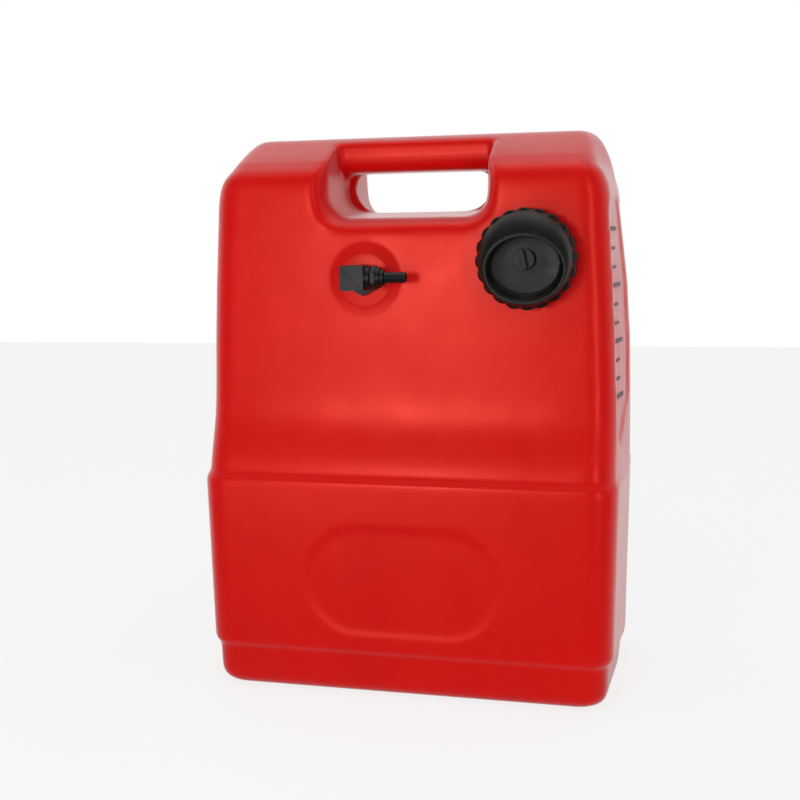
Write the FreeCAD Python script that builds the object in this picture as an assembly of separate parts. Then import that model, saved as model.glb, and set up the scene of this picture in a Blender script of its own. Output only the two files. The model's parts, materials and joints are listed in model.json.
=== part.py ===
import FreeCAD, Part
import math
import os

# Portable outboard fuel tank: a blow-moulded upright slab with a carrying slot through its top,
# a screwed filler cap with a vent screw, and a swivelling hose outlet with its pick-up tube.
# Millimetres. X to the right, -Y out of the front face, +Z up, origin at the middle of the base.

Vector = FreeCAD.Vector
PARTS_FOLDER = "parts"

# Tank body
HEIGHT = 469.5
WALL = 4.0
CORNER_RADIUS = 21.0
BASE_ROUNDING = 14.0
PLINTH_TOP = 37.0
PLINTH_INSET = 4.5
BOX_FRONT = 98.0
BOX_HALF_LOW = 171.6
BOX_HALF_HIGH = 175.0
LEDGE_Z = 184.4
LEDGE_STEP = 3.5
SHOULDER_STEP = 8.5

# Carrying slot and its bar; the slot narrows towards the moulding seam, with a step down to its rear half
SLOT_HALF = 66.5
SLOT_NARROWING = 1.6
SLOT_LOW_RADIUS = 19.0
REAR_SLOT_HALF = 63.5
REAR_SLOT_NARROWING = 4.3
REAR_SLOT_LOW_RADIUS = 23.0
SLOT_LOW = 400.0
SLOT_HIGH = 439.0
SLOT_RISE = 5.5
SLOT_DRAFT_DEPTH = 60.0
SLOT_HIGH_RADIUS = 9.0
BAR_HALF_DEPTH = 24.0
BAR_ROUNDING = 13.0
BAR_END_DEPTH = 12.0
BAR_END_OVERLAP = 0.15
NOTCH_SPLAY = 3.4
FLARE_SPREAD = 0.3
FLARE_LEAN = 1.5
FLARE_START_Y = 57.0
FLARE_MIDDLE_Y = 68.0
FLARE_END_Y = 80.0
FLARE_WIDTH = 13.5

# Shallow panel on the lower front, bare
PANEL_HALF = 81.0
PANEL_HALF_HEIGHT = 45.0
PANEL_Z = 101.0
PANEL_CORNER = 44.0
PANEL_DEPTH = 1.2

# Inset panels of the upper sides, with a level scale in the two front ones
SIDE_INSET = 1.6
SIDE_FRONT_LOW = 208.0
SIDE_SEAM_LOW = 250.0
SIDE_HIGH = 416.0
SIDE_FRONT_Y = 59.0
SIDE_SEAM_Y = 8.0
SCALE_PROUD = 0.7
SCALE_LOW = 252.0
SCALE_STEP = 15.0
SCALE_BARS = 10
SCALE_Y = -55.0

# Filler neck and cap, on an axis along -Y
FILLER_X = 103.0
FILLER_Z = 366.0
NECK_ROOT_Y = -75.0
NECK_RIM_Y = -93.0
NECK_RADIUS = 29.0
NECK_BORE = 25.0
THREAD_PITCH = 6.0
THREAD_TURNS = 1.5
THREAD_START = 5.0
THREAD_HALF_ROOT = 1.25
THREAD_HALF_CREST = 0.75
NECK_CREST = 30.6
RING_BORE = 31.6
RING_CREST = 29.6
RING_LEAD = 3.5
CAP_SKIRT_Y = -77.5
CAP_INSIDE_Y = -95.5
CAP_FLOOR_Y = -98.5
CAP_RIM_Y = -108.5
CAP_BORE = 35.2
CAP_LOBES = 20
CAP_RADIUS = 40.0
LOBE_DEPTH = 1.8
LOBE_TURN = 2.0
KNURL_END_Y = -93.5
CROWN_RADIUS = 38.0
DISH_DROP = 7.6
DISH_SHIFT = 1.2
DISH_HALF_X = 31.7
DISH_HALF_Z = 26.6
RIM_THICKNESS = 2.2

# Vent screw in the middle of the cap
BUSH_RADIUS = 5.0
BUSH_FLANGE_RADIUS = 7.2
BUSH_FLANGE_Y = -99.5
BUSH_END_Y = -91.5
STEM_RADIUS = 2.5
STEM_END_Y = -89.5
VENT_FIT = 0.05
VENT_SEAL_RADIUS = 5.5
VENT_SEAL_Y = -100.5
KNOB_RADIUS = 8.3
KNOB_FACE_Y = -103.0
WING_TOP_Y = -107.6
WING_TILT = 12.0

# Hose outlet, on a second axis along -Y; the head sits a little above it
OUTLET_X = -31.0
OUTLET_Z = 350.0
BOSS_RADIUS = 29.0
BOSS_RING_RADIUS = 21.5
BOSS_FACE_Y = -77.8
BOSS_ROOT_Y = -70.0
INNER_BOSS_RADIUS = 14.0
INNER_BOSS_Y = -60.0
INSERT_RADIUS = 10.0
SHANK_RADIUS = 7.0
GASKET_RADIUS = 10.6
GASKET_THICKNESS = 1.2
HEX_FLATS = 22.0
HEX_THICKNESS = 8.0
STEM_OUTER = 6.0
STEM_TIP_Y = -101.8
SEAL_GROOVE_Y = -91.3
CLIP_GROOVE_Y = -99.4
SPIGOT_RADIUS = 5.0
SPIGOT_END_Y = -46.0
FUEL_BORE = 3.2
SWIVEL_FIT = 0.05
HEAD_BACK_Y = -87.8
HEAD_FRONT_Y = -107.3
HEAD_LEFT = 13.0
HEAD_RIGHT = 6.5
HEAD_HALF_HEIGHT = 10.0
HEAD_RISE = 2.6
HEAD_CENTRE_Y = -97.3
NUT_END = 21.5
BARB_START = 8.4
BARB_END = 39.3
BARB_ROOT = 3.9
BARB_CREST = 4.8
SHOULDER_START = 11.7
SHOULDER_END = 13.7
SHOULDER_RADIUS = 6.2

# Pick-up tube and strainer
TUBE_BORE = 5.05
TUBE_RADIUS = 6.6
TUBE_START_Y = -58.0
TUBE_BEND = 26.0
TUBE_DROP_Y = 0.0
TUBE_END_Z = 40.0
STRAINER_RADIUS = 9.5
STRAINER_LOW = 9.0
SCREEN_RADIUS = 7.6


def rounded_outline(corners, place):
    """Closed wire through corners (u, v, radius), each rounded by an arc; place puts (u, v) in space."""
    count = len(corners)
    stops = []
    for i, (u, v, radius) in enumerate(corners):
        here = Vector(u, v, 0)
        if radius == 0:
            stops.append((here, None, here))
            continue
        before = Vector(corners[i - 1][0], corners[i - 1][1], 0) - here
        after = Vector(corners[(i + 1) % count][0], corners[(i + 1) % count][1], 0) - here
        before.normalize()
        after.normalize()
        half = before.getAngle(after) / 2
        reach = radius / math.tan(half)
        bisector = before + after
        bisector.normalize()
        middle = here + bisector * (radius / math.sin(half) - radius)
        stops.append((here + before * reach, middle, here + after * reach))
    edges = []
    for i, (start, middle, end) in enumerate(stops):
        if middle is not None:
            edges.append(Part.Arc(place(start), place(middle), place(end)).toShape())
        following = stops[(i + 1) % count][0]
        edges.append(Part.LineSegment(place(end), place(following)).toShape())
    return Part.Wire(edges)


def on_level(z):
    return lambda p: Vector(p.x, p.y, z)


def on_front(y):
    return lambda p: Vector(p.x, y, p.y)


def on_side(x):
    return lambda p: Vector(x, p.x, p.y)


def prism(wire, direction):
    return Part.Face(wire).extrude(direction)


def disc(x, z, y_from, y_to, radius):
    """Cylinder along -Y between two depths."""
    return Part.makeCylinder(radius, y_from - y_to, Vector(x, y_from, z), Vector(0, -1, 0))


def ring(x, z, y_from, y_to, outer, inner):
    return disc(x, z, y_from, y_to, outer).cut(disc(x, z, y_from + 1, y_to - 1, inner))


def fuse_all(shapes):
    whole = shapes[0]
    for shape in shapes[1:]:
        whole = whole.fuse(shape)
    return whole.removeSplitter()


def smooth_stations(rows):
    """Stations every SHOULDER_STEP or less, on a smooth curve through rows."""
    slopes = []
    for i in range(len(rows)):
        low = rows[max(i - 1, 0)]
        high = rows[min(i + 1, len(rows) - 1)]
        slopes.append([(b - a) / (high[0] - low[0]) for a, b in zip(low, high)])
    stations = [rows[0]]
    for i in range(len(rows) - 1):
        span = rows[i + 1][0] - rows[i][0]
        parts = math.ceil(span / SHOULDER_STEP)
        for k in range(1, parts + 1):
            stations.append(between(rows[i], rows[i + 1], slopes[i], slopes[i + 1], span, k / parts))
    return stations


def between(row, following, slope, following_slope, span, t):
    """Cubic through two rows with their slopes, at share t of the way."""
    bend = t * t * (3 - 2 * t)
    start_pull = t * (1 - t) ** 2 * span
    end_pull = -t * t * (1 - t) * span
    return tuple(a + (b - a) * bend + start_pull * m + end_pull * n
                 for a, b, m, n in zip(row, following, slope, following_slope))


# The body's outline at each height: z, half width at the front face, front depth, half width at
# the moulding seam, corner radius. The back half mirrors the front.
def body_stations():
    stations = []
    for angle in (0, 22.5, 45, 67.5, 90):
        inset = BASE_ROUNDING * (1 - math.sin(math.radians(angle))) + PLINTH_INSET
        z = BASE_ROUNDING * (1 - math.cos(math.radians(angle)))
        stations.append((z, BOX_HALF_LOW - inset, BOX_FRONT - inset, BOX_HALF_LOW + 4 - inset,
                         CORNER_RADIUS - 4))
    stations += [
        (PLINTH_TOP, BOX_HALF_LOW - 4.2, BOX_FRONT - 4.2, 173.2, CORNER_RADIUS - 4),
        (PLINTH_TOP + 3.5, BOX_HALF_LOW, BOX_FRONT, 176.8, CORNER_RADIUS),
        (LEDGE_Z, BOX_HALF_HIGH, BOX_FRONT, 178.9, CORNER_RADIUS),
    ]
    stations += smooth_stations([
        (LEDGE_Z + 3, BOX_HALF_HIGH - LEDGE_STEP, BOX_FRONT - LEDGE_STEP, 179.0, CORNER_RADIUS),
        (200, 171.2, 91.8, 179.3, CORNER_RADIUS),
        (216, 171.0, 86.3, 179.4, CORNER_RADIUS),
        (232, 170.8, 81.0, 179.4, CORNER_RADIUS),
        (250, 170.4, 78.3, 179.3, CORNER_RADIUS),
        (300, 168.8, 76.8, 178.5, CORNER_RADIUS),
    ])
    stations += [
        (346, 167.2, 75.5, 175.8, CORNER_RADIUS),
        (412, 164.9, 73.6, 168.0, CORNER_RADIUS),
        (424, 163.0, 73.2, 166.0, 20),
        (431, 160.0, 72.6, 164.6, 19),
        (436, 156.5, 71.0, 163.6, 18),
        (440.5, 152.0, 67.0, 162.6, 16),
        (448, 149.4, 56.0, 160.3, 14),
        (455, 147.8, 42.5, 157.3, 12),
        (461, 146.0, 30.0, 153.9, 10),
        (465.5, 143.5, 20.5, 149.6, 8),
        (468, 141.0, 14.5, 145.5, 6),
        (HEIGHT, 137.0, 9.0, 141.0, 5),
    ]
    return stations


def body_block(shrink):
    """The whole outer form without its openings, drawn in all round by shrink."""
    wires = []
    for z, half, front, seam, radius in body_stations():
        level = shrink + z * (HEIGHT - 2 * shrink) / HEIGHT
        a, f, s = half - shrink, front - shrink, seam - shrink
        r = max(radius - shrink, 1.5)
        corners = [(-a, -f, r), (a, -f, r), (s, 0, 0), (a, f, r), (-a, f, r), (-s, 0, 0)]
        wires.append(rounded_outline(corners, on_level(level)))
    return Part.makeLoft(wires, True, True)


def slot_draft(y):
    """Share of the narrowing at depth y: 1 at the seam, 0 near the faces."""
    return 1 - min(abs(y) / SLOT_DRAFT_DEPTH, 1)


def slot_sides(side, grow, y):
    """Half width, floor and low corner radius at depth y, in the front half (side -1) or the rear one."""
    draft = slot_draft(y)
    low = SLOT_LOW + SLOT_RISE * draft - grow
    if side < 0:
        return SLOT_HALF - SLOT_NARROWING * draft + grow, low, SLOT_LOW_RADIUS + grow
    return REAR_SLOT_HALF - REAR_SLOT_NARROWING * draft + grow, low, REAR_SLOT_LOW_RADIUS + grow


def notch_outline(side, grow, flare, y):
    """U shape, open at the top, that frees the bar and flares out to the face."""
    half, low, low_radius = slot_sides(side, grow, y)
    half += FLARE_SPREAD * flare
    low -= 0.6 * flare
    radius = low_radius + 0.4 * flare
    top = HEIGHT + 30
    splay = NOTCH_SPLAY + FLARE_LEAN * flare
    corners = [(-half, low, radius), (half, low, radius), (half + splay, top, 0),
               (-half - splay, top, 0)]
    return rounded_outline(corners, on_front(y))


def bar_end(side, end, grow):
    """Rounded corner where the bar's underside runs into one end of the slot."""
    radius = SLOT_HIGH_RADIUS + grow
    centre = slot_sides(side, grow, 0)[0] - radius + BAR_END_OVERLAP
    level = SLOT_HIGH + grow - radius + BAR_END_OVERLAP
    seam_y, end_y = grow, side * (BAR_END_DEPTH - grow)
    start, depth = min(seam_y, end_y), abs(end_y - seam_y)
    reach = 40.0
    block = Part.makeBox(reach, depth, radius + 2, Vector(centre if end > 0 else -centre - reach, start, level))
    return block.cut(Part.makeCylinder(radius, depth, Vector(end * centre, start, level), Vector(0, 1, 0)))


def bar_core(grow):
    """The bar with rounded lower edges, running on past both ends of the opening."""
    half, low, radius = BAR_HALF_DEPTH - grow, SLOT_HIGH + grow, BAR_ROUNDING - grow
    top = HEIGHT + 40
    corners = [(-half, low, radius), (half, low, radius), (half, top, 0), (-half, top, 0)]
    bar = prism(rounded_outline(corners, on_side(-120)), Vector(240, 0, 0))
    for side in (-1, 1):
        for end in (-1, 1):
            bar = bar.fuse(bar_end(side, end, grow))
    return bar


def carrying_opening(grow):
    """Everything cut away round the bar, grown by grow for the wall that surrounds it."""
    halves = []
    for side in (-1, 1):
        seam_y = -grow if side < 0 else 0.0
        stages = ((0, seam_y), (0, FLARE_START_Y), (0.42 * FLARE_WIDTH, FLARE_MIDDLE_Y),
                  (1.15 * FLARE_WIDTH, 75.5), (2.0 * FLARE_WIDTH, FLARE_END_Y))
        outlines = [notch_outline(side, grow, flare, side * y) for flare, y in stages]
        halves.append(Part.makeLoft(outlines, True, True))
    return halves[0].fuse(halves[1]).cut(bar_core(grow))


def side_panel_prism(side, face):
    """Column over one inset panel: side is -1 for left, face is -1 for front."""
    front_y, seam_y = face * SIDE_FRONT_Y, face * SIDE_SEAM_Y
    corners = [(front_y, SIDE_FRONT_LOW, 6), (seam_y, SIDE_SEAM_LOW, 8),
               (seam_y, SIDE_HIGH, 10), (front_y, SIDE_HIGH - 6, 10)]
    return prism(rounded_outline(corners, on_side(side * 120)), Vector(side * 90, 0, 0))


def side_panels():
    panels = [side_panel_prism(side, face) for side in (-1, 1) for face in (-1, 1)]
    return Part.makeCompound(panels)


def front_panel():
    """Shallow rounded recess in the lower front, with a drafted edge."""
    wires = []
    for y, grow in ((-BOX_FRONT - 1, 2.4), (-BOX_FRONT + PANEL_DEPTH, 0)):
        half, high = PANEL_HALF + grow, PANEL_HALF_HEIGHT + grow
        corners = [(-half, PANEL_Z - high, PANEL_CORNER), (half, PANEL_Z - high, PANEL_CORNER),
                   (half, PANEL_Z + high, PANEL_CORNER), (-half, PANEL_Z + high, PANEL_CORNER)]
        wires.append(rounded_outline(corners, on_front(y)))
    return Part.makeLoft(wires, True, True)


def helix_ridge(root, crest, start_s, start_turn, turns):
    """Screw ridge round the filler axis; start_s is its distance out from the neck's root."""
    helix = Part.makeHelix(THREAD_PITCH, THREAD_PITCH * turns, root)
    profile = Part.makePolygon([
        Vector(root, 0, -THREAD_HALF_ROOT), Vector(crest, 0, -THREAD_HALF_CREST),
        Vector(crest, 0, THREAD_HALF_CREST), Vector(root, 0, THREAD_HALF_ROOT),
        Vector(root, 0, -THREAD_HALF_ROOT)])
    ridge = Part.Wire(helix.Edges).makePipeShell([profile], True, True)
    ridge.rotate(Vector(0, 0, 0), Vector(0, 0, 1), 360 * start_turn)
    ridge.rotate(Vector(0, 0, 0), Vector(1, 0, 0), 90)
    ridge.translate(Vector(FILLER_X, NECK_ROOT_Y - start_s, FILLER_Z))
    return ridge


def tank_shell():
    block = body_block(0)
    inset_limit = body_block(SIDE_INSET)
    block = block.cut(side_panels().cut(inset_limit))
    block = block.cut(carrying_opening(0)).cut(front_panel())
    boss = Part.makeCone(BOSS_RADIUS, BOSS_RADIUS - 2, BOSS_ROOT_Y - BOSS_FACE_Y - 1.2,
                         Vector(OUTLET_X, BOSS_ROOT_Y, OUTLET_Z), Vector(0, -1, 0))
    boss_ring = disc(OUTLET_X, OUTLET_Z, BOSS_ROOT_Y, BOSS_FACE_Y, BOSS_RING_RADIUS)
    neck = disc(FILLER_X, FILLER_Z, BOSS_ROOT_Y, NECK_RIM_Y, NECK_RADIUS)
    block = block.fuse(boss).fuse(boss_ring).fuse(neck)
    cavity = body_block(WALL).cut(carrying_opening(WALL))
    shell = block.cut(cavity)
    inner_boss = disc(OUTLET_X, OUTLET_Z, INNER_BOSS_Y, BOSS_ROOT_Y - 3, INNER_BOSS_RADIUS)
    shell = shell.fuse(inner_boss)
    shell = shell.cut(disc(FILLER_X, FILLER_Z, INNER_BOSS_Y, NECK_RIM_Y - 5, NECK_BORE))
    shell = shell.cut(disc(OUTLET_X, OUTLET_Z, INNER_BOSS_Y + 5, BOSS_FACE_Y - 5, INSERT_RADIUS))
    ridge = helix_ridge(NECK_RADIUS - 0.4, NECK_CREST, THREAD_START, 0, THREAD_TURNS)
    return shell.fuse(ridge)


def level_scale():
    """Graduation bars, every third one long, standing a little proud of both front side panels."""
    outer = body_block(SIDE_INSET - SCALE_PROUD)
    inner = body_block(SIDE_INSET)
    bars = []
    for side in (-1, 1):
        for i in range(SCALE_BARS):
            z = SCALE_LOW + i * SCALE_STEP
            long_bar = i % 3 == 0
            length = 27.0 if long_bar else 15.0
            height = 3.2 if long_bar else 2.2
            bar = Part.makeBox(60, length, height, Vector(130 if side > 0 else -190, SCALE_Y, z))
            bars.append(bar.common(outer).cut(inner))
    return Part.makeCompound([solid for bar in bars for solid in bar.Solids])


def cap_section(half_x, half_z, drop, y):
    """Ellipse of the cap at depth y; drop is how far it has come down, and it shifts right with that."""
    if half_x > half_z:
        curve = Part.Ellipse(Vector(0, 0, 0), half_x, half_z).toShape()
    else:
        curve = Part.Circle(Vector(0, 0, 0), Vector(0, 0, 1), half_x).toShape()
    curve.rotate(Vector(0, 0, 0), Vector(1, 0, 0), 90)
    curve.translate(Vector(FILLER_X + DISH_SHIFT * drop / DISH_DROP, y, FILLER_Z - drop))
    return Part.Wire([curve])


def knurled_band():
    """Ring of round lobes for the fingers."""
    step = 2 * math.pi / CAP_LOBES
    edges = []
    for i in range(CAP_LOBES):
        points = []
        for part, radius in ((-0.5, CAP_RADIUS - LOBE_DEPTH), (0, CAP_RADIUS), (0.5, CAP_RADIUS - LOBE_DEPTH)):
            angle = (i + part) * step + math.radians(LOBE_TURN)
            points.append(Vector(radius * math.cos(angle), 0, radius * math.sin(angle)))
        edges.append(Part.Arc(*points).toShape())
    outline = Part.Wire(edges)
    outline.translate(Vector(FILLER_X, CAP_SKIRT_Y, FILLER_Z))
    return prism(outline, Vector(0, KNURL_END_Y - CAP_SKIRT_Y, 0))


def filler_cap():
    """Outer cap moulding: lobed skirt, crown drawn down to an offset oval rim, sunk dish."""
    crown_stages = ((CROWN_RADIUS, CROWN_RADIUS, 0, KNURL_END_Y),
                    (37.0, 36.0, 0.8, KNURL_END_Y - 6),
                    (35.2, 32.4, 3.6, KNURL_END_Y - 11.4),
                    (DISH_HALF_X + 1, DISH_HALF_Z + 1, DISH_DROP - 0.6, CAP_RIM_Y))
    crown = Part.makeLoft([cap_section(*stage) for stage in crown_stages], True, True)
    inner_x, inner_z = DISH_HALF_X - RIM_THICKNESS, DISH_HALF_Z - RIM_THICKNESS
    dish_stages = ((inner_x - 2.3, inner_z - 1.4, DISH_DROP - 3, CAP_FLOOR_Y),
                   (inner_x + 0.8, inner_z + 0.8, DISH_DROP - 0.6, CAP_RIM_Y - 0.5))
    dish = Part.makeLoft([cap_section(*stage) for stage in dish_stages], True, True)
    cap = knurled_band().fuse(crown).cut(dish)
    cap = cap.cut(disc(FILLER_X, FILLER_Z, CAP_SKIRT_Y + 1, CAP_INSIDE_Y, CAP_BORE))
    return cap.cut(disc(FILLER_X, FILLER_Z, CAP_INSIDE_Y + 5, CAP_RIM_Y, BUSH_RADIUS))


def cap_thread_ring():
    """Threaded lining pressed into the cap."""
    lining = ring(FILLER_X, FILLER_Z, CAP_SKIRT_Y - 0.6, CAP_INSIDE_Y, CAP_BORE, RING_BORE)
    first = THREAD_START + THREAD_PITCH / 2 - RING_LEAD
    ridge = helix_ridge(RING_BORE + 0.4, RING_CREST, first, -RING_LEAD / THREAD_PITCH, THREAD_TURNS)
    return lining.fuse(ridge)


def cap_gasket():
    return ring(FILLER_X, FILLER_Z, NECK_RIM_Y, CAP_INSIDE_Y, RING_BORE - 0.5, NECK_BORE + 0.5)


def vent_bush():
    sleeve = disc(FILLER_X, FILLER_Z, BUSH_END_Y, CAP_FLOOR_Y, BUSH_RADIUS)
    flange = disc(FILLER_X, FILLER_Z, CAP_FLOOR_Y, BUSH_FLANGE_Y, BUSH_FLANGE_RADIUS)
    return sleeve.fuse(flange).cut(disc(FILLER_X, FILLER_Z, BUSH_END_Y + 1, BUSH_FLANGE_Y - 1,
                                        STEM_RADIUS + VENT_FIT))


def vent_seal():
    return ring(FILLER_X, FILLER_Z, BUSH_FLANGE_Y, VENT_SEAL_Y, VENT_SEAL_RADIUS, STEM_RADIUS + VENT_FIT)


def vent_knob():
    """Winged knob with its stem; the wing stands a little off vertical."""
    stem = disc(FILLER_X, FILLER_Z, STEM_END_Y, VENT_SEAL_Y, STEM_RADIUS)
    plate = disc(FILLER_X, FILLER_Z, VENT_SEAL_Y, KNOB_FACE_Y, KNOB_RADIUS)
    corners = [(-1.7, -7.5, 1.2), (1.7, -7.5, 1.2), (1.7, 7.5, 1.2), (-1.7, 7.5, 1.2)]
    wing = prism(rounded_outline(corners, on_front(KNOB_FACE_Y + 0.5)),
                 Vector(0, WING_TOP_Y - KNOB_FACE_Y - 0.5, 0))
    wing.rotate(Vector(0, 0, 0), Vector(0, 1, 0), -WING_TILT)
    wing.translate(Vector(FILLER_X, 0, FILLER_Z))
    return stem.fuse(plate).fuse(wing)


def hexagon(flats, y_from, y_to):
    across = flats / math.sqrt(3)
    points = []
    for i in range(7):
        angle = math.radians(90 + 60 * i)
        points.append(Vector(OUTLET_X + across * math.cos(angle), y_from,
                             OUTLET_Z + across * math.sin(angle)))
    return prism(Part.makePolygon(points), Vector(0, y_to - y_from, 0))


def outlet_insert():
    """Knurled brass insert moulded into the boss."""
    return ring(OUTLET_X, OUTLET_Z, INNER_BOSS_Y, BOSS_FACE_Y, INSERT_RADIUS, SHANK_RADIUS)


def outlet_gasket():
    return ring(OUTLET_X, OUTLET_Z, BOSS_FACE_Y, BOSS_FACE_Y - GASKET_THICKNESS, GASKET_RADIUS,
                SHANK_RADIUS + 0.05)


def outlet_base():
    """Hexagon with its threaded shank, the tube's spigot behind and the swivel stem in front."""
    seat = BOSS_FACE_Y - GASKET_THICKNESS
    hex_front = seat - HEX_THICKNESS
    body = hexagon(HEX_FLATS, seat, hex_front)
    body = body.fuse(disc(OUTLET_X, OUTLET_Z, INNER_BOSS_Y, seat, SHANK_RADIUS))
    body = body.fuse(disc(OUTLET_X, OUTLET_Z, SPIGOT_END_Y, INNER_BOSS_Y, SPIGOT_RADIUS))
    body = body.fuse(disc(OUTLET_X, OUTLET_Z, hex_front, STEM_TIP_Y, STEM_OUTER))
    groove = ring(OUTLET_X, OUTLET_Z, SEAL_GROOVE_Y, SEAL_GROOVE_Y - 2, STEM_OUTER + 1, STEM_OUTER - 1.5)
    clip_groove = ring(OUTLET_X, OUTLET_Z, CLIP_GROOVE_Y, CLIP_GROOVE_Y - 1.2, STEM_OUTER + 1,
                       STEM_OUTER - 1.2)
    body = body.cut(groove).cut(clip_groove)
    body = body.cut(disc(OUTLET_X, OUTLET_Z, SPIGOT_END_Y + 1, HEAD_CENTRE_Y, FUEL_BORE))
    cross = Part.makeCylinder(FUEL_BORE - 0.8, 20, Vector(OUTLET_X - 10, HEAD_CENTRE_Y + 0.6, OUTLET_Z),
                              Vector(1, 0, 0))
    return body.cut(cross)


def swivel_seal():
    return ring(OUTLET_X, OUTLET_Z, SEAL_GROOVE_Y - 0.1, SEAL_GROOVE_Y - 1.9, STEM_OUTER - 0.05,
                STEM_OUTER - 1.45)


def swivel_clip():
    """Snap ring that holds the elbow on its stem; it turns with the elbow."""
    clip = ring(OUTLET_X, OUTLET_Z, CLIP_GROOVE_Y - 0.15, CLIP_GROOVE_Y - 1.05, STEM_OUTER + 1.5,
                STEM_OUTER - 1.1)
    gap = Part.makeBox(3, 4, 10, Vector(OUTLET_X - 1.5, CLIP_GROOVE_Y - 3, OUTLET_Z - 10))
    return clip.cut(gap)


def along_x(x_from, x_to, radius):
    return Part.makeCylinder(radius, x_to - x_from, tail_point(x_from), Vector(1, 0, 0))


def tail_point(x):
    """Point on the tail's axis, x out from the swivel axis."""
    return Vector(OUTLET_X + x, HEAD_CENTRE_Y, OUTLET_Z + HEAD_RISE)


def outlet_elbow():
    """Square head that turns on the stem, with the socket for the hose barb on its right."""
    corners = [(-HEAD_LEFT, -HEAD_HALF_HEIGHT, 1.6), (HEAD_RIGHT, -HEAD_HALF_HEIGHT, 1.6),
               (HEAD_RIGHT, HEAD_HALF_HEIGHT, 1.6), (-HEAD_LEFT, HEAD_HALF_HEIGHT, 1.6)]
    head = prism(rounded_outline(corners, on_front(HEAD_BACK_Y)), Vector(0, HEAD_FRONT_Y - HEAD_BACK_Y, 0))
    head.translate(Vector(OUTLET_X, 0, OUTLET_Z + HEAD_RISE))
    head = head.fuse(along_x(HEAD_RIGHT - 1, 10.5, 8.8))
    head = head.cut(disc(OUTLET_X, OUTLET_Z, HEAD_BACK_Y + 1, STEM_TIP_Y - 1, STEM_OUTER + SWIVEL_FIT))
    head = head.cut(disc(OUTLET_X, OUTLET_Z, CLIP_GROOVE_Y, CLIP_GROOVE_Y - 1.2, STEM_OUTER + 1.6))
    return head.cut(along_x(0, 11, 4.6))


def barb_seal():
    seal = along_x(10.5, SHOULDER_START, 6.4)
    return seal.cut(along_x(10, SHOULDER_START + 1, BARB_ROOT + 0.05))


def barb_nut():
    """Stepped collar nut over the barb's shoulder."""
    nut = along_x(SHOULDER_START, 15.4, 9.6).fuse(along_x(15.4, 18.4, 8.2)).fuse(along_x(18.4, NUT_END, 6.4))
    flats = []
    for i in range(6):
        flat = Part.makeBox(5, 8, 24, tail_point(SHOULDER_START - 1) + Vector(0, 8.7, -12))
        flat.rotate(tail_point(0), Vector(1, 0, 0), 60 * i)
        flats.append(flat)
    nut = nut.cut(Part.makeCompound(flats)).cut(along_x(11, SHOULDER_END + 0.05, SHOULDER_RADIUS + 0.05))
    return nut.cut(along_x(11, NUT_END + 1, BARB_ROOT + 0.02))


def hose_barb():
    """Tail with four barbs for the hose, its bore and its inner end in the elbow."""
    tail = along_x(BARB_START, BARB_END, BARB_ROOT)
    tail = tail.fuse(along_x(SHOULDER_START, SHOULDER_END, SHOULDER_RADIUS))
    for i in range(4):
        foot = NUT_END + 0.8 + 4.2 * i
        tail = tail.fuse(Part.makeCone(BARB_CREST, BARB_ROOT, 3.6, tail_point(foot), Vector(1, 0, 0)))
    return tail.cut(along_x(BARB_START - 1, BARB_END + 1, 2.4))


def tube_path(start_y):
    bend_y = TUBE_DROP_Y - TUBE_BEND
    low_z = OUTLET_Z - TUBE_BEND
    slant = TUBE_BEND * math.sin(math.radians(45))
    start = Vector(OUTLET_X, start_y, OUTLET_Z)
    corner = Vector(OUTLET_X, bend_y, OUTLET_Z)
    middle = Vector(OUTLET_X, bend_y + slant, low_z + slant)
    down = Vector(OUTLET_X, TUBE_DROP_Y, low_z)
    end = Vector(OUTLET_X, TUBE_DROP_Y, TUBE_END_Z)
    return Part.Wire([Part.LineSegment(start, corner).toShape(), Part.Arc(corner, middle, down).toShape(),
                      Part.LineSegment(down, end).toShape()])


def pickup_tube():
    """Soft tube from the spigot down to the strainer."""
    walls = []
    for radius in (TUBE_RADIUS, TUBE_BORE):
        circle = Part.Circle(Vector(OUTLET_X, TUBE_START_Y, OUTLET_Z), Vector(0, 1, 0), radius).toShape()
        walls.append(tube_path(TUBE_START_Y).makePipeShell([Part.Wire([circle])], True, False))
    return walls[0].cut(walls[1])


def upright(z_from, z_to, radius):
    return Part.makeCylinder(radius, z_to - z_from, Vector(OUTLET_X, TUBE_DROP_Y, z_from))


def strainer_stem():
    """Hollow stem pushed into the tube's lower end, with the shoulder that carries the strainer."""
    stem = upright(TUBE_END_Z - 2, TUBE_END_Z + 14, SPIGOT_RADIUS)
    shoulder = upright(TUBE_END_Z - 4, TUBE_END_Z, 7.0)
    return stem.fuse(shoulder).cut(upright(TUBE_END_Z - 5, TUBE_END_Z + 15, FUEL_BORE))


def strainer_cage():
    """Slotted cup round the screen."""
    cage = upright(STRAINER_LOW, TUBE_END_Z - 2, STRAINER_RADIUS)
    cage = cage.cut(upright(STRAINER_LOW + 2, TUBE_END_Z - 1, SCREEN_RADIUS + 0.1))
    for i in range(3):
        slot = Part.makeBox(30, 3.4, 18, Vector(-15, -1.7, STRAINER_LOW + 4))
        slot.rotate(Vector(0, 0, 0), Vector(0, 0, 1), 60 * i)
        slot.translate(Vector(OUTLET_X, TUBE_DROP_Y, 0))
        cage = cage.cut(slot)
    return cage


def strainer_screen():
    screen = upright(STRAINER_LOW + 2, TUBE_END_Z - 4, SCREEN_RADIUS)
    return screen.cut(upright(STRAINER_LOW + 1, TUBE_END_Z - 3, SCREEN_RADIUS - 0.6))


def tube_clip_top():
    front = SPIGOT_END_Y - 9
    band = ring(OUTLET_X, OUTLET_Z, front + 6, front, TUBE_RADIUS + 1.1, TUBE_RADIUS + 0.02)
    ears = Part.makeBox(3.4, 6, 4, Vector(OUTLET_X - 1.7, front, OUTLET_Z + TUBE_RADIUS + 0.6))
    return band.fuse(ears)


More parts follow.
